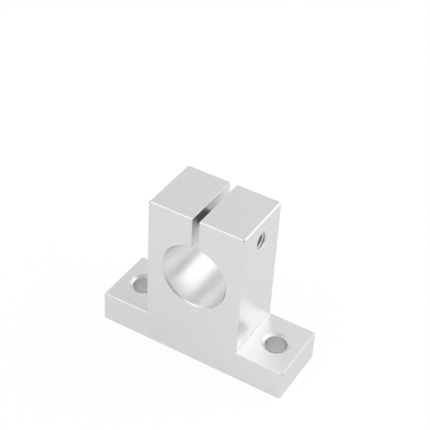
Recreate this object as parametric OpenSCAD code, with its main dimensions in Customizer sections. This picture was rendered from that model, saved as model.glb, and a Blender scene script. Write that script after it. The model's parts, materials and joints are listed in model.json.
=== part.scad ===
// Shaft support block: a one-piece T-shaped block that holds the end of a round
// linear shaft above a flat surface. The shaft lies along Y. A saw slit splits
// the tower above the bore, and a socket-head screw across the slit draws the
// two jaws together. Millimetres, +Z up, origin at the centre of the underside.

/* [Shaft bore] */
// Diameter of the bore, which is the shaft's own
bore_d = 20; // [10:0.5:30]
// Height of the shaft's axis above the underside
bore_h = 31; // [22:0.5:45]
// Wall between the bore and each side of the tower
side_wall = 5; // [4:0.25:9]
// Height of the jaws above the crown of the bore
jaw_h = 10; // [9:0.5:16]
// Bevel round both mouths of the bore
bore_bevel = 0.4; // [0.2:0.05:0.8]

/* [Body] */
// Length of the block along the shaft
depth = 20; // [14:0.5:32]
// Thickness of the feet
foot_t = 10; // [6:0.5:14]
// Reach of each foot from the side of the tower
foot_w = 15; // [12.5:0.5:24]
// Radius in the corner between tower and foot
foot_r = 0.4; // [0.2:0.05:1]
// Bevel along the outer edges that run with the shaft
edge_bevel = 0.45; // [0.2:0.05:0.8]
// Bevel round the outlines of the front and back faces
face_bevel = 0.2; // [0.1:0.05:0.4]

/* [Mounting holes] */
// Distance from the side of the tower to a mounting hole's axis
hole_out = 7.5; // [5.5:0.25:10]
// Diameter of the mounting holes
hole_d = 6.6; // [4.5:0.1:8]
// Width of the bevel round the upper mouth of a mounting hole
hole_bevel = 0.95; // [0.3:0.05:1.2]
// Slope of that bevel, which is 31 degrees where the point of a drill makes it
hole_slope = 31; // [25:1:45]
// Bevel round its lower mouth
hole_deburr = 0.2; // [0.1:0.05:0.5]

/* [Slit] */
// Width of the saw slit between the jaws
slit_w = 2.2; // [1:0.1:3.5]
// Bevel along the lips of the slit
lip_bevel = 0.08; // [0.04:0.02:0.3]

/* [Clamp screw] */
// Thread diameter
screw_d = 5; // [4:0.5:6]
// Diameter of the head
head_d = 8.5; // [7.5:0.5:10]
// Height of the head
head_h = 5; // [3.5:0.5:6]
// Bevel round the outer end of the head
head_bevel = 0.5; // [0.2:0.1:0.8]
// Width across the flats of the hexagon socket
socket_af = 4; // [3:0.5:5]
// Depth of the hexagon socket
socket_depth = 2.5; // [1.5:0.25:2.75]
// Bevel at the tip of the thread
tip_bevel = 0.6; // [0.3:0.1:1]
// Distance from the tip to the tapped side of the tower
tip_inset = 4.6; // [1:0.1:7]

/* [Screw seat] */
// Radial room round the head in its counterbore
head_room = 0.5; // [0.3:0.1:1]
// Depth of the head below the side of the tower
head_sink = 0.4; // [0.1:0.1:1.5]
// Radial room round the screw in the plain jaw
shank_room = 0.25; // [0.15:0.05:0.4]
// Radial clearance of the screw in the tapped jaw
thread_room = 0.05; // [0.02:0.01:0.1]
// Bevel round the mouth of the counterbore
seat_bevel = 0.3; // [0.1:0.05:0.5]
// Bevel round the mouth of the tapped hole
tapped_bevel = 0.2; // [0.1:0.05:0.9]
// Metal between the crown of the bore and the screw's hole
crown_web = 0.5; // [0.3:0.1:1.5]

/* [Hidden] */
$fn = 96;

tower_w = bore_d + 2 * side_wall;
base_w = tower_w + 2 * foot_w;
total_h = bore_h + bore_d / 2 + jaw_h;
hole_x = tower_w / 2 + hole_out;

// The small flat on each outer corner lies this far inside it, along X, Y and Z together
corner_cut = edge_bevel + 1.75 * face_bevel;

shank_hole_r = screw_d / 2 + shank_room;
tapped_hole_r = screw_d / 2 + thread_room;
counterbore_r = head_d / 2 + head_room;
counterbore_depth = head_sink + head_h;
screw_z = bore_h + bore_d / 2 + crown_web + shank_hole_r;
seat_x = counterbore_depth - tower_w / 2;
screw_l = tower_w / 2 - tip_inset - seat_x;
socket_cone_h = socket_af / 2 * tan(30);

// How far a cut runs past the surface that it opens
past = 1;

// A rectangle about the origin with its four corners cut off at 45 degrees.
module bevelled_rect(w, h, bevel) {
    x = w / 2;
    y = h / 2;
    polygon([
        [-x + bevel, -y], [x - bevel, -y], [x, -y + bevel], [x, y - bevel],
        [x - bevel, y], [-x + bevel, y], [-x, y - bevel], [-x, -y + bevel]
    ]);
}

// The space inside eight planes that slope across the corners of a box, as the plane x + y + z = reach does.
module inside_corner_flats(size, reach) {
    intersection_for(turn = [45 : 90 : 315])
        rotate([0, atan(sqrt(2)), turn])
            cube([size, size, 2 * reach / sqrt(3)], center = true);
}

// A box from height z0 to z1, centred on the Z axis, with bevelled edges and a small flat on each corner.
module bevelled_box(w, d, z0, z1) {
    h = z1 - z0;
    translate([0, 0, (z0 + z1) / 2])
        intersection() {
            linear_extrude(h, center = true)
                bevelled_rect(w, d, face_bevel);
            rotate([90, 0, 0])
                linear_extrude(d, center = true)
                    bevelled_rect(w, h, edge_bevel);
            rotate([90, 0, 90])
                linear_extrude(w, center = true)
                    bevelled_rect(d, h, face_bevel);
            inside_corner_flats(w + d + h, (w + d + h) / 2 - corner_cut);
        }
}

// The rounded corner between a foot and the tower's right-hand side.
module foot_fillet() {
    translate([tower_w / 2, 0, foot_t])
        rotate([90, 0, 0])
            linear_extrude(depth - 2 * face_bevel, center = true)
                difference() {
                    translate([-foot_r, -foot_r])
                        square(2 * foot_r);
                    translate([foot_r, foot_r])
                        circle(foot_r);
                }
}

// The T shape before anything is cut: the tower stands in the middle of the base.
module blank() {
    bevelled_box(base_w, depth, 0, foot_t);
    bevelled_box(tower_w, depth, foot_t / 2, total_h);
    for (side = [0, 1])
        mirror([side, 0, 0])
            foot_fillet();
}

// A round cut along +Z of radius r up to height h, with a bevel that opens at the top.
module bevelled_hole(r, h, bevel, slope = 45) {
    translate([0, 0, -past])
        cylinder(r = r, h = h + 2 * past);
    translate([0, 0, h - bevel * tan(slope)])
        cylinder(r1 = r, r2 = r + bevel + past, h = (bevel + past) * tan(slope));
}

// The shaft's seat, bevelled at both ends.
module bore_cut() {
    translate([0, 0, bore_h])
        for (turn = [90, -90])
            rotate([turn, 0, 0])
                bevelled_hole(bore_d / 2, depth / 2, bore_bevel);
}

// One mounting hole, bevelled above and lightly deburred below.
module mounting_hole_cut() {
    bevelled_hole(hole_d / 2, foot_t, hole_bevel, hole_slope);
    translate([0, 0, foot_t])
        mirror([0, 0, 1])
            bevelled_hole(hole_d / 2, foot_t, hole_deburr);
}

// The outline of a slit across the Y axis whose lips open at the height edge.
module lipped_slit(from, edge) {
    a = slit_w / 2;
    b = a + lip_bevel + past;
    polygon([
        [-a, from], [a, from], [a, edge - lip_bevel], [b, edge + past],
        [-b, edge + past], [-a, edge - lip_bevel]
    ]);
}

// The saw slit from the bore to the top, with its lips broken on top, front and back.
module slit_cut() {
    rotate([90, 0, 0])
        linear_extrude(depth + 2 * past, center = true)
            lipped_slit(bore_h, total_h);
    for (side = [0, 1])
        mirror([0, side, 0])
            translate([0, 0, bore_h])
                linear_extrude(total_h - bore_h + past)
                    lipped_slit(0, depth / 2);
}

// The screw's stepped hole: counterbore, plain hole, and tapped hole beyond the slit.
module clamp_cut() {
    translate([0, 0, screw_z]) {
        rotate([0, -90, 0])
            cylinder(r = shank_hole_r, h = tower_w / 2);
        translate([seat_x, 0, 0])
            rotate([0, -90, 0])
                cylinder(r = counterbore_r, h = counterbore_depth + past);
        translate([-tower_w / 2 + seat_bevel, 0, 0])
            rotate([0, -90, 0])
                cylinder(r1 = counterbore_r, r2 = counterbore_r + seat_bevel + past,
                         h = seat_bevel + past);
        rotate([0, 90, 0])
            bevelled_hole(tapped_hole_r, tower_w / 2, tapped_bevel);
    }
}

module support_block() {
    color("gainsboro")
        difference() {
            blank();
            bore_cut();
            slit_cut();
            clamp_cut();
            for (side = [-1, 1])
                translate([side * hole_x, 0, 0])
                    mounting_hole_cut();
        }
}

// The hexagon socket, with the shallow cone that the punch leaves at its bottom.
module socket_cut() {
    socket_r = socket_af / 2 / cos(30);
    translate([0, 0, head_h - socket_depth])
        cylinder(r = socket_r, h = socket_depth + past, $fn = 6);
    translate([0, 0, head_h - socket_depth - socket_cone_h])
        cylinder(r1 = 0, r2 = socket_af / 2, h = socket_cone_h);
}

// The socket-head cap screw, turned about its own axis with the head upwards.
module cap_screw() {
    difference() {
        rotate_extrude()
            polygon([
                [0, -screw_l], [screw_d / 2 - tip_bevel, -screw_l],
                [screw_d / 2, -screw_l + tip_bevel], [screw_d / 2, 0],
                [head_d / 2, 0], [head_d / 2, head_h - head_bevel],
                [head_d / 2 - head_bevel, head_h], [0, head_h]
            ]);
        socket_cut();
    }
}

module clamp_screw() {
    color("dimgray")
        translate([seat_x, 0, screw_z])
            rotate([0, -90, 0])
                cap_screw();
}

support_block();
clamp_screw();
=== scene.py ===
"""The looks of the shaft support block: a satin anodised finish, the threads, and a white studio."""
import json
import math

import bmesh
import bpy
from mathutils import Matrix, Vector


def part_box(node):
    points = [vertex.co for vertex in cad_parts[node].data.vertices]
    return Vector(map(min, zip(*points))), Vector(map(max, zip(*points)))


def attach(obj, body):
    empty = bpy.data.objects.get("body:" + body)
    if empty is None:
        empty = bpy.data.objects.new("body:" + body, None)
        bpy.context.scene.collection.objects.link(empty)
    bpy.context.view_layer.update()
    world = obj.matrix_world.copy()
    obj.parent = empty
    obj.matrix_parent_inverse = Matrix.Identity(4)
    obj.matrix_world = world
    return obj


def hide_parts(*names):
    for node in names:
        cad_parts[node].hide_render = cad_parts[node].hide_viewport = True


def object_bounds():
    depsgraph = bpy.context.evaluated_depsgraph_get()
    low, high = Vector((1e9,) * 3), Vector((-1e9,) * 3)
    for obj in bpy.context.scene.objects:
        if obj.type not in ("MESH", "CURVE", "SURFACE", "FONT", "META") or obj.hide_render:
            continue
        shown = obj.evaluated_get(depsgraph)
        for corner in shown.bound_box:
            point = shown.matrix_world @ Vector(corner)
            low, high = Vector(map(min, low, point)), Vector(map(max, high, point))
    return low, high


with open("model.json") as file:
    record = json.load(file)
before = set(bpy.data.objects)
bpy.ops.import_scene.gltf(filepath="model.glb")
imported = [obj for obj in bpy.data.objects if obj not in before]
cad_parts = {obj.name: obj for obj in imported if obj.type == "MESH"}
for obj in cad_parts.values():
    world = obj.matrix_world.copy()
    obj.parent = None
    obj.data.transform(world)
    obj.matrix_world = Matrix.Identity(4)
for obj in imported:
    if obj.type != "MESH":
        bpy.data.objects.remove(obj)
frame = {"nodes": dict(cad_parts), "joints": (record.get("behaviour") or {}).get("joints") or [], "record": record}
cad_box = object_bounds()

MM = 0.001
BLOCK_CENTRE = (cad_box[0] + cad_box[1]) / 2

# ---------------------------------------------------------------- sizes read from the frame
mounts = {mount["name"]: mount for mount in frame["record"]["mounts"]}
BORE_R = mounts["shaft_bore"]["dims"]["r_mm"] * MM
BORE_Z = mounts["shaft_bore"]["pos_m"][2]
HOLE_R = mounts["mounting_holes"]["dims"]["hole_r_mm"] * MM
HOLE_X = mounts["mounting_holes"]["dims"]["spacing_x_mm"] * MM / 2
SCREW_Z = frame["joints"][0]["pos_m"][2]
screw_low, screw_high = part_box("clamp_screw")

# ---------------------------------------------------------------- sizes of the threads and the clamp screw
THREAD_PITCH = 0.8 * MM
# One pitch of a 60 degree thread from its outer flat: the share of the pitch, and the share of the depth
SCREW_PROFILE = ((0, 0), (1 / 8, 0), (7 / 16, 0.94), (1 / 2, 1), (5 / 8, 1), (11 / 16, 0.94))
# The tapped hole's crests are narrower
TAPPED_PROFILE = ((0, 0), (7 / 32, 0), (17 / 32, 0.94), (37 / 64, 1), (42 / 64, 1), (11 / 16, 0.94))
# Vertices in a turn of thread
THREAD_COLUMNS = 48
# The turns beyond a thread's length that its slant takes up at the two ends
SPARE_TURNS = 3

SCREW_R = 2.5 * MM
SCREW_ROOT_R = 2.02 * MM
SCREW_TIP_BEVEL = 0.6 * MM
# The blank neck under the head
SCREW_NECK = 1.2 * MM

HEAD_R = (screw_high.z - screw_low.z) / 2
HEAD_H = 5 * MM
HEAD_BEVEL = 0.5 * MM
HEAD_UNDER_BEVEL = 0.2 * MM
KNURL_RIDGES = 48
KNURL_DEPTH = 0.13 * MM
# The knurling stops this far above the bearing face
KNURL_STOP = 0.8 * MM
SOCKET_AF = 4 * MM
SOCKET_DEPTH = 2.5 * MM
# The lead-in bevel at the socket's mouth: its radius, and its slope, which the drilled bottom shares
SOCKET_MOUTH_R = 2.42 * MM
SOCKET_SLOPE = math.tan(math.radians(30))

TAPPED_CREST_R = 2.07 * MM
TAPPED_ROOT_R = 2.53 * MM
# The back of the threaded lining, which lies in the metal round the hole
TAPPED_BACK_R = 2.6 * MM
# The lining starts this far beyond the screw's tip
TAPPED_CLEAR = 0.2 * MM
# It ends where the bevel begins that the hole has at the tower's side
TAPPED_BEVEL = 0.2 * MM
TOWER_HALF = 15 * MM

# Vertices closer than this are one
MERGE_DISTANCE = 0.0005 * MM
# Faces that meet at more than this many degrees show a sharp edge
SHARP_ANGLE = 28

# ---------------------------------------------------------------- camera
VIEW_AZIMUTH = 28.8
VIEW_ELEVATION = 38.44
VIEW_ROLL = 3.49
VIEW_DISTANCE = 336.9 * MM
VIEW_LENS = 99.57
# How far the camera aims to the right of the block's centre, and above it
AIM_RIGHT = 1.13 * MM
AIM_UP = 16.29 * MM
CLIP_START = 0.01
CLIP_END = 20


def direction(azimuth, elevation):
    """The unit vector towards an azimuth, 0 in front and 90 to the right, and an elevation, in degrees."""
    a, e = math.radians(azimuth), math.radians(elevation)
    return Vector((math.sin(a) * math.cos(e), -math.cos(a) * math.cos(e), math.sin(e)))


def link(thing):
    bpy.context.scene.collection.objects.link(thing)


def make_camera():
    back = direction(VIEW_AZIMUTH, VIEW_ELEVATION)
    level = Vector((0, 0, 1)).cross(back).normalized()
    upward = back.cross(level)
    roll = math.radians(VIEW_ROLL)
    right = level * math.cos(roll) + upward * math.sin(roll)
    up = upward * math.cos(roll) - level * math.sin(roll)

    camera = bpy.data.objects.new("camera", bpy.data.cameras.new("camera"))
    camera.data.lens = VIEW_LENS
    camera.data.clip_start = CLIP_START
    camera.data.clip_end = CLIP_END
    spot = BLOCK_CENTRE + right * AIM_RIGHT + up * AIM_UP + back * VIEW_DISTANCE
    turn = Matrix((right, up, back)).transposed().to_4x4()
    camera.matrix_world = Matrix.Translation(spot) @ turn
    link(camera)
    bpy.context.scene.camera = camera


# ---------------------------------------------------------------- node helpers
class Nodes:
    """A short way to write the node tree of a material or a world."""

    def __init__(self, owner):
        owner.use_nodes = True
        self.tree = owner.node_tree
        self.tree.nodes.clear()

    def add(self, kind, **settings):
        node = self.tree.nodes.new(kind)
        for name, value in settings.items():
            setattr(node, name, value)
        return node

    def feed(self, socket, value):
        """Sets a socket to a number, a grey or a vector, or links it to another node's output."""
        if isinstance(value, bpy.types.NodeSocket):
            self.tree.links.new(value, socket)
        elif socket.type == "RGBA":
            socket.default_value = (value, value, value, 1)
        else:
            socket.default_value = value

    def surface(self, shader, kind="ShaderNodeOutputMaterial"):
        self.feed(self.add(kind).inputs["Surface"], shader.outputs[0])

    def math(self, operation, *values, clamp=False):
        node = self.add("ShaderNodeMath", operation=operation, use_clamp=clamp)
        for socket, value in zip(node.inputs, values):
            self.feed(socket, value)
        return node.outputs[0]

    def vector(self, operation, *values):
        node = self.add("ShaderNodeVectorMath", operation=operation)
        sockets = [socket for socket in node.inputs if socket.enabled]
        for socket, value in zip(sockets, values):
            self.feed(socket, value)
        return node.outputs["Value" if operation in ("DOT_PRODUCT", "LENGTH") else "Vector"]

    def mix(self, factor, a, b):
        """A number between a and b."""
        return self.math("ADD", self.math("MULTIPLY", self.math("SUBTRACT", b, a), factor), a)

    def smooth(self, value, start, end, low=0.0, high=1.0):
        """low before start, high after end, and a smooth step between them."""
        node = self.add("ShaderNodeMapRange", interpolation_type="SMOOTHSTEP")
        for socket, number in zip(node.inputs, (value, start, end, low, high)):
            self.feed(socket, number)
        return node.outputs[0]

    def noise(self, place, cells, detail, roughness):
        """Noise with a number of cells a metre along X, Y and Z."""
        node = self.add("ShaderNodeTexNoise")
        self.feed(node.inputs["Vector"], self.vector("MULTIPLY", place, cells))
        self.feed(node.inputs["Scale"], 1.0)
        self.feed(node.inputs["Detail"], detail)
        self.feed(node.inputs["Roughness"], roughness)
        return node.outputs[0]

    def from_line(self, place, point, across):
        """How far a place is from the line through a point; across is 1 for the two axes across the line."""
        return self.vector("LENGTH", self.vector("MULTIPLY", self.vector("SUBTRACT", place, point), across))


# The axes across a line along X, along Y and along Z
ACROSS_X = (0, 1, 1)
ACROSS_Y = (1, 0, 1)
ACROSS_Z = (1, 1, 0)

# ---------------------------------------------------------------- studio
FLOOR_SIZE = 8.0
FLOOR_WHITE = 0.9
# The floor's own light, as the camera and as the metal see it
FLOOR_TO_CAMERA = 1.05
FLOOR_TO_METAL = 0.86
# The share of its white that the lamps make instead, shadows and all
LIT_SHARE_TO_CAMERA = 0.15
LIT_SHARE_TO_METAL = 0.5
# What the metal sees round the floor; the camera sees white there
ROOM_TONE = 0.63

# name, azimuth, elevation, distance, width, height, radiance
SOFTBOXES = (
    ("front_softbox", -34, 43, 0.9, 0.72, 0.42, 0.7),
    ("right_softbox", 103, 44, 0.9, 0.85, 0.75, 0.72),
    ("back_softbox", 154, 36, 0.9, 0.68, 0.68, 0.62),
)
# name, azimuth, elevation, distance, width, height, tone
CARDS = (
    ("camera_card", 39, 22, 1.1, 1.05, 1.1, 0.32),
    ("left_card", -78, 3, 0.35, 0.3, 0.12, 0.35),
    ("back_card", 117, 6, 1.6, 0.95, 0.55, 0.38),
    ("far_left_card", -138, 14, 1.2, 1.1, 0.6, 0.9),
)


def rectangle(name, width, height, material):
    """A flat rectangle round the origin, facing up."""
    mesh = bpy.data.meshes.new(name)
    w, h = width / 2, height / 2
    mesh.from_pydata([(-w, -h, 0), (w, -h, 0), (w, h, 0), (-w, h, 0)], [], [(0, 1, 2, 3)])
    mesh.materials.append(material)
    return bpy.data.objects.new(name, mesh)


def face_the_block(thing, azimuth, elevation, distance):
    """Places a lamp or a card, out of the camera's sight."""
    facing = direction(azimuth, elevation)
    thing.location = BLOCK_CENTRE + facing * distance
    thing.rotation_euler = facing.to_track_quat("Z", "Y").to_euler()
    thing.visible_camera = False
    link(thing)


def make_softbox(name, azimuth, elevation, distance, width, height, radiance):
    lamp = bpy.data.lights.new(name, "AREA")
    lamp.shape = "RECTANGLE"
    lamp.size = width
    lamp.size_y = height
    lamp.energy = radiance * math.pi * width * height
    face_the_block(bpy.data.objects.new(name, lamp), azimuth, elevation, distance)


def make_card(name, azimuth, elevation, distance, width, height, tone):
    """A grey card beside the set, which only the metal sees."""
    material = bpy.data.materials.new(name)
    n = Nodes(material)
    grey = n.add("ShaderNodeEmission")
    n.feed(grey.inputs["Color"], tone)
    n.surface(grey)
    card = rectangle(name, width, height, material)
    face_the_block(card, azimuth, elevation, distance)
    card.visible_diffuse = False
    card.visible_shadow = False


def make_room():
    world = bpy.data.worlds.new("room")
    bpy.context.scene.world = world
    n = Nodes(world)
    room = n.add("ShaderNodeBackground")
    is_camera = n.add("ShaderNodeLightPath").outputs["Is Camera Ray"]
    n.feed(room.inputs["Color"], n.mix(is_camera, ROOM_TONE, 1.0))
    n.surface(room, "ShaderNodeOutputWorld")


def floor_material():
    """White paper: the camera and shiny surfaces see some light of its own, and the rest is the lamps'."""
    material = bpy.data.materials.new("white_floor")
    n = Nodes(material)
    path = n.add("ShaderNodeLightPath").outputs
    is_camera = path["Is Camera Ray"]
    shiny = n.math("MAXIMUM", path["Is Glossy Ray"], path["Is Transmission Ray"])
    seen = n.math("MAXIMUM", is_camera, shiny)
    paper = n.add("ShaderNodeBsdfDiffuse")
    n.feed(paper.inputs["Color"], FLOOR_WHITE)
    white = n.add("ShaderNodeEmission")
    n.feed(white.inputs["Color"], n.mix(is_camera, FLOOR_TO_METAL, FLOOR_TO_CAMERA))
    either = n.add("ShaderNodeMixShader")
    own_share = n.mix(is_camera, 1 - LIT_SHARE_TO_METAL, 1 - LIT_SHARE_TO_CAMERA)
    n.feed(either.inputs[0], n.math("MULTIPLY", seen, own_share))
    n.feed(either.inputs[1], paper.outputs[0])
    n.feed(either.inputs[2], white.outputs[0])
    n.surface(either)
    return material


def make_floor():
    floor = rectangle("floor", FLOOR_SIZE, FLOOR_SIZE, floor_material())
    link(floor)


# ---------------------------------------------------------------- materials
# Each pattern of noise: its cells a metre along X, Y and Z, its detail and its roughness
DRAWN_MARKS = ((6500, 220, 6500), 3.0, 0.65)
RING_MARKS = ((180, 7500, 180), 3.0, 0.65)
GRAIN = ((16000, 16000, 16000), 2.0, 0.6)
STAINS = ((420, 150, 420), 4.0, 0.6)
STEEL_STAINS = ((1400, 1400, 1400), 4.0, 0.6)
STEEL_PATCHES = ((2600, 2600, 2600), 3.0, 0.6)
STEEL_PITS = ((9000, 9000, 9000), 3.0, 0.6)
# The milled arcs' first axis is the distance from the face mill's axis, beyond the block's lower left corner
MILLED_MARKS = ((5200, 1, 1), 3.0, 0.65)
MILL_CENTRE = (-55 * MM, 0, -28 * MM)
# Their second axis: how much they change along themselves, in cells a metre along X and Y
MILL_DRIFT = (160, 90, 0)
# The share of a face's normal that lies along Y where the face starts to count as milled, and where it does
MILLED_FROM = 0.9
MILLED_TO = 0.95

ALUMINIUM = 0.92
ALUMINIUM_ROUGHNESS = 0.34
# The seat is bored after the anodising, so it is bare and smoother; its tone is painted a little darker than the
# faces, as painted shade that holds down its highlight, and the cones and the thread are painted darker still, as
# painted shade in the holes
BORE_TONE_WITH_PAINTED_SHADE = 0.88
BORED_ROUGHNESS = 0.3
# The tone of the painted shade in the tapped thread and in the cones round the mounting holes
PAINTED_HOLE_SHADE = 0.84
# How wide the cone is at the mouth of a mounting hole, which is painted darker as painted shade
CONE_WIDTH = 0.95 * MM
# How quickly one finish turns into the next
FINISH_STEP = 0.02 * MM
ANISOTROPY = 0.65
# Gives the tangent a direction on the milled faces, where the normal lies along Y
TANGENT_NUDGE = (0.01, 0, 0)
# How far the stains and the cutting marks move the tone and the roughness, as shares of them
STAIN_TONE = 0.025
MARK_TONE = 0.04
STAIN_ROUGHNESS = 0.15
MARK_ROUGHNESS = 0.12
# How strongly the marks show as bumps, how deep they are, and the grain's share of them, skin and bore
MARK_BUMP = 0.7
MARK_DEPTH = 0.003 * MM
GRAIN_SHARE = 0.35
BORED_GRAIN_SHARE = 0.1

STEEL = 0.08
STEEL_ROUGHNESS = 0.38
# How strongly the steel's pits show as bumps
STEEL_BUMP = 0.6
# How far the stains move the steel's tone, as a share of it, and its roughness
STEEL_STAIN_TONE = 0.25
STEEL_STAIN_ROUGHNESS = 0.08
# The steel where handling and the key have rubbed the black skin, and how far down the ridges that reaches
STEEL_RUBBED = 0.2
RUBBED_ROUGHNESS = 0.28
RUBBED_DEPTH = 0.05 * MM
# How patchily: the noise below and above which it is rubbed least and most, and how much the least is
PATCH_LOW = 0.35
PATCH_HIGH = 0.65
LEAST_RUBBED = 0.3


def inside(n, distance, radius):
    """1 up to a radius, and 0 a little beyond it."""
    return n.smooth(distance, radius + FINISH_STEP, radius + 2 * FINISH_STEP, 1, 0)


def metal_shader(n, strength, height):
    """A bare metal, with bumps of MARK_DEPTH at a strength."""
    shader = n.add("ShaderNodeBsdfPrincipled")
    shader.inputs["Metallic"].default_value = 1.0
    bump = n.add("ShaderNodeBump")
    bump.inputs["Strength"].default_value = strength
    bump.inputs["Distance"].default_value = MARK_DEPTH
    n.feed(bump.inputs["Height"], height)
    n.feed(shader.inputs["Normal"], bump.outputs[0])
    n.surface(shader)
    return shader


def cutting_marks(n, place, normal, bored):
    """Marks drawn along Y on the outline, arcs of a face mill in front and behind, and rings in the bore."""
    milled = n.math("ABSOLUTE", n.vector("DOT_PRODUCT", normal, (0, 1, 0)))
    milled = n.smooth(milled, MILLED_FROM, MILLED_TO)
    arcs = n.add("ShaderNodeCombineXYZ")
    n.feed(arcs.inputs[0], n.from_line(place, MILL_CENTRE, ACROSS_Y))
    n.feed(arcs.inputs[1], n.vector("DOT_PRODUCT", place, MILL_DRIFT))
    drawn_marks = n.noise(place, *DRAWN_MARKS)
    milled_marks = n.noise(arcs.outputs[0], *MILLED_MARKS)
    return n.mix(bored, n.mix(milled, drawn_marks, milled_marks), n.noise(place, *RING_MARKS))


def anodised_aluminium():
    """Clear anodised aluminium: satin, with fine marks along each face's own cutting direction."""
    material = bpy.data.materials.new("anodised_aluminium")
    n = Nodes(material)
    place = n.add("ShaderNodeTexCoord").outputs["Object"]
    normal = n.add("ShaderNodeNewGeometry").outputs["True Normal"]
    bored = inside(n, n.from_line(place, (0, 0, BORE_Z), ACROSS_Y), BORE_R)
    tapped = inside(n, n.from_line(place, (0, 0, SCREW_Z), ACROSS_X), TAPPED_BACK_R)
    from_hole = n.from_line(n.vector("ABSOLUTE", place), (HOLE_X, 0, 0), ACROSS_Z)
    cone = n.math("SUBTRACT", inside(n, from_hole, HOLE_R + CONE_WIDTH), inside(n, from_hole, HOLE_R))
    # Painted shade in the holes: the tapped thread and the cones at the mounting holes' mouths are painted darker
    painted_hole_shade = n.math("MAXIMUM", tapped, cone)

    marks = cutting_marks(n, place, normal, bored)
    grain = n.noise(place, *GRAIN)
    stain = n.noise(place, *STAINS)
    shader = metal_shader(n, MARK_BUMP, n.mix(n.mix(bored, GRAIN_SHARE, BORED_GRAIN_SHARE), marks, grain))

    # The base tone: the faces, the bore painted a little darker as painted shade on its highlight, and the holes'
    # painted shade
    metal = n.mix(painted_hole_shade, n.mix(bored, ALUMINIUM, BORE_TONE_WITH_PAINTED_SHADE), PAINTED_HOLE_SHADE)
    tone = n.math("ADD", n.mix(stain, 1 - STAIN_TONE, 1 + STAIN_TONE), n.mix(marks, -MARK_TONE, MARK_TONE))
    n.feed(shader.inputs["Base Color"], n.math("MULTIPLY", metal, tone, clamp=True))
    satin = n.mix(bored, ALUMINIUM_ROUGHNESS, BORED_ROUGHNESS)
    share = n.mix(stain, 1 + STAIN_ROUGHNESS, 1 - STAIN_ROUGHNESS)
    share = n.math("ADD", share, n.mix(marks, -MARK_ROUGHNESS, MARK_ROUGHNESS))
    n.feed(shader.inputs["Roughness"], n.math("MULTIPLY", satin, share))
    # A highlight spreads across the marks
    shader.inputs["Anisotropic"].default_value = ANISOTROPY
    across_marks = n.vector("CROSS_PRODUCT", (0, 1, 0), normal)
    n.feed(shader.inputs["Tangent"], n.vector("ADD", across_marks, TANGENT_NUDGE))
    return material


def black_steel():
    """Blackened steel: a dark oiled skin, rubbed brighter on the knurl's ridges and the thread's crests."""
    material = bpy.data.materials.new("black_steel")
    n = Nodes(material)
    place = n.add("ShaderNodeTexCoord").outputs["Object"]
    shader = metal_shader(n, STEEL_BUMP, n.noise(place, *STEEL_PITS))

    from_axis = n.from_line(place, (0, 0, SCREW_Z), ACROSS_X)
    ridges = n.smooth(from_axis, HEAD_R - RUBBED_DEPTH, HEAD_R)
    crests = n.smooth(from_axis, SCREW_R - RUBBED_DEPTH, SCREW_R)
    not_head = n.smooth(from_axis, SCREW_R + RUBBED_DEPTH, SCREW_R + 2 * RUBBED_DEPTH, 1, 0)
    patches = n.smooth(n.noise(place, *STEEL_PATCHES), PATCH_LOW, PATCH_HIGH, LEAST_RUBBED)
    edges = n.math("MAXIMUM", ridges, n.math("MULTIPLY", crests, not_head))
    rubbed = n.math("MULTIPLY", edges, patches)

    stain = n.noise(place, *STEEL_STAINS)
    skin = n.mix(stain, STEEL * (1 - STEEL_STAIN_TONE), STEEL * (1 + STEEL_STAIN_TONE))
    n.feed(shader.inputs["Base Color"], n.mix(rubbed, skin, STEEL_RUBBED))
    satin = n.mix(stain, STEEL_ROUGHNESS - STEEL_STAIN_ROUGHNESS, STEEL_ROUGHNESS + STEEL_STAIN_ROUGHNESS)
    n.feed(shader.inputs["Roughness"], n.mix(rubbed, satin, RUBBED_ROUGHNESS))
    return material


def dress(node, material):
    for slot in frame["nodes"][node].material_slots:
        slot.material = material


# ---------------------------------------------------------------- threads and the clamp screw
def ring(mesh, columns, place):
    """A ring of vertices round the screw's axis; place turns an angle into a place along X and a radius."""
    vertices = []
    for j in range(columns):
        angle = 2 * math.pi * j / columns
        x, r = place(angle)
        vertices.append(mesh.verts.new((x, -r * math.cos(angle), SCREW_Z + r * math.sin(angle))))
    return vertices


def plain_ring(mesh, columns, x, r):
    return ring(mesh, columns, lambda angle: (x, r))


def bands(mesh, rings):
    """The faces between neighbouring rings; a ring may have half as many vertices as the one before it."""
    for first, second in zip(rings, rings[1:]):
        step = len(first) // len(second)
        for k in range(len(second)):
            edge = [first[(k * step + i) % len(first)] for i in range(step + 1)]
            mesh.faces.new([second[(k + 1) % len(second)], second[k]] + edge)


def helix(mesh, profile, start, end, radius):
    """A threaded tube from start to end along X; radius turns an x and a share of the depth into a size."""
    rows_per_turn = len(profile)
    turns = math.ceil((end - start) / THREAD_PITCH) + SPARE_TURNS
    rows = []
    for i in range(turns * rows_per_turn):
        along, depth = profile[i % rows_per_turn]
        turn = i // rows_per_turn - 1 + along

        def place(angle):
            x = start + THREAD_PITCH * (turn + angle / (2 * math.pi))
            x = min(max(x, start), end)
            return x, radius(x, depth)

        rows.append(ring(mesh, THREAD_COLUMNS, place))
    for i in range(len(rows) - rows_per_turn - 1):
        for j in range(THREAD_COLUMNS - 1):
            mesh.faces.new((rows[i][j], rows[i][j + 1], rows[i + 1][j + 1], rows[i + 1][j]))
        # The last column meets the first one a whole turn further on
        last = rows[i + rows_per_turn][0], rows[i + rows_per_turn + 1][0]
        mesh.faces.new((rows[i][-1], last[0], last[1], rows[i + 1][-1]))


def finished_piece(name, mesh, material, body):
    bmesh.ops.remove_doubles(mesh, verts=mesh.verts, dist=MERGE_DISTANCE)
    bmesh.ops.recalc_face_normals(mesh, faces=mesh.faces)
    data = bpy.data.meshes.new(name)
    mesh.to_mesh(data)
    mesh.free()
    data.shade_smooth()
    data.set_sharp_from_angle(angle=math.radians(SHARP_ANGLE))
    data.materials.append(material)
    piece = bpy.data.objects.new(name, data)
    link(piece)
    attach(piece, body)
    return piece


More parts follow.
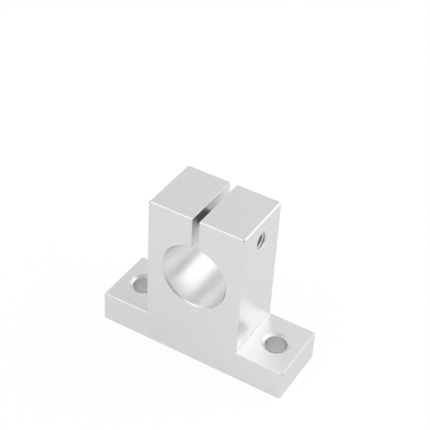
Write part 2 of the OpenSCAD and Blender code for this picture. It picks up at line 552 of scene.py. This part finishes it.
def make_tapped_thread(material):
    """The open end of the tapped hole's thread: a thin lining, whose ridges the hole's bevel cuts off."""
    start = screw_high.x + TAPPED_CLEAR
    mouth = TOWER_HALF - TAPPED_BEVEL
    mesh = bmesh.new()

    def radius(x, depth):
        grown = min((x - start) / THREAD_PITCH, 1)
        bevel = TAPPED_ROOT_R - (mouth - x)
        return max(TAPPED_ROOT_R - (TAPPED_ROOT_R - TAPPED_CREST_R) * depth * grown, bevel)

    helix(mesh, TAPPED_PROFILE, start, mouth, radius)
    mouth_corners = ((mouth, TAPPED_ROOT_R), (mouth, TAPPED_BACK_R))
    start_corners = ((start, TAPPED_BACK_R), (start, TAPPED_ROOT_R))
    bands(mesh, [plain_ring(mesh, THREAD_COLUMNS, x, r) for x, r in mouth_corners + start_corners])
    finished_piece("tapped_thread", mesh, material, "block")


def make_screw(material):
    """The socket-head clamp screw: a knurled head with its socket, and a thread down to the bevelled tip."""
    mesh = bmesh.new()
    outer = screw_low.x
    seat = outer + HEAD_H
    tip = screw_high.x
    thread_start = seat + SCREW_NECK
    columns = 2 * KNURL_RIDGES

    def hexagon(angle):
        return SOCKET_AF / 2 / math.cos((angle + math.pi / 6) % (math.pi / 3) - math.pi / 6)

    def mouth(angle):
        r = hexagon(angle)
        return outer + (SOCKET_MOUTH_R - r) * SOCKET_SLOPE, r

    def knurl(x_crest):
        def place(angle):
            cut = KNURL_DEPTH * (0.5 - 0.5 * math.cos(KNURL_RIDGES * angle))
            return x_crest - cut, HEAD_R - cut
        return place

    socket_floor = outer + SOCKET_DEPTH
    socket_tip = socket_floor + SOCKET_AF / 2 * SOCKET_SLOPE
    floor_ring = plain_ring(mesh, columns, socket_floor, SOCKET_AF / 2)
    centre = mesh.verts.new((socket_tip, 0, SCREW_Z))
    for j in range(columns):
        mesh.faces.new((centre, floor_ring[j], floor_ring[(j + 1) % columns]))
    bands(mesh, [
        floor_ring,
        ring(mesh, columns, lambda angle: (socket_floor, hexagon(angle))),
        ring(mesh, columns, mouth),
        plain_ring(mesh, columns, outer, SOCKET_MOUTH_R),
        plain_ring(mesh, columns, outer, HEAD_R - HEAD_BEVEL),
        ring(mesh, columns, knurl(outer + HEAD_BEVEL)),
        ring(mesh, columns, knurl(seat - KNURL_STOP)),
        plain_ring(mesh, columns, seat - KNURL_STOP, HEAD_R),
        plain_ring(mesh, columns, seat - HEAD_UNDER_BEVEL, HEAD_R),
        plain_ring(mesh, columns, seat, HEAD_R - HEAD_UNDER_BEVEL),
        plain_ring(mesh, THREAD_COLUMNS, seat, SCREW_R),
        plain_ring(mesh, THREAD_COLUMNS, thread_start, SCREW_R),
    ])

    def radius(x, depth):
        grown = min((x - thread_start) / THREAD_PITCH, 1)
        bevel = SCREW_R - SCREW_TIP_BEVEL + (tip - x)
        return min(SCREW_R - (SCREW_R - SCREW_ROOT_R) * depth * grown, bevel)

    helix(mesh, SCREW_PROFILE, thread_start, tip, radius)
    mesh.faces.new(plain_ring(mesh, THREAD_COLUMNS, tip, SCREW_R - SCREW_TIP_BEVEL))
    screw = finished_piece("threaded_screw", mesh, material, "screw")
    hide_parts("clamp_screw")


make_camera()
make_room()
make_floor()
for softbox in SOFTBOXES:
    make_softbox(*softbox)
for card in CARDS:
    make_card(*card)
bpy.context.scene.view_settings.view_transform = "Standard"

aluminium = anodised_aluminium()
steel = black_steel()
dress("support_block", aluminium)
dress("clamp_screw", steel)
make_tapped_thread(aluminium)
make_screw(steel)
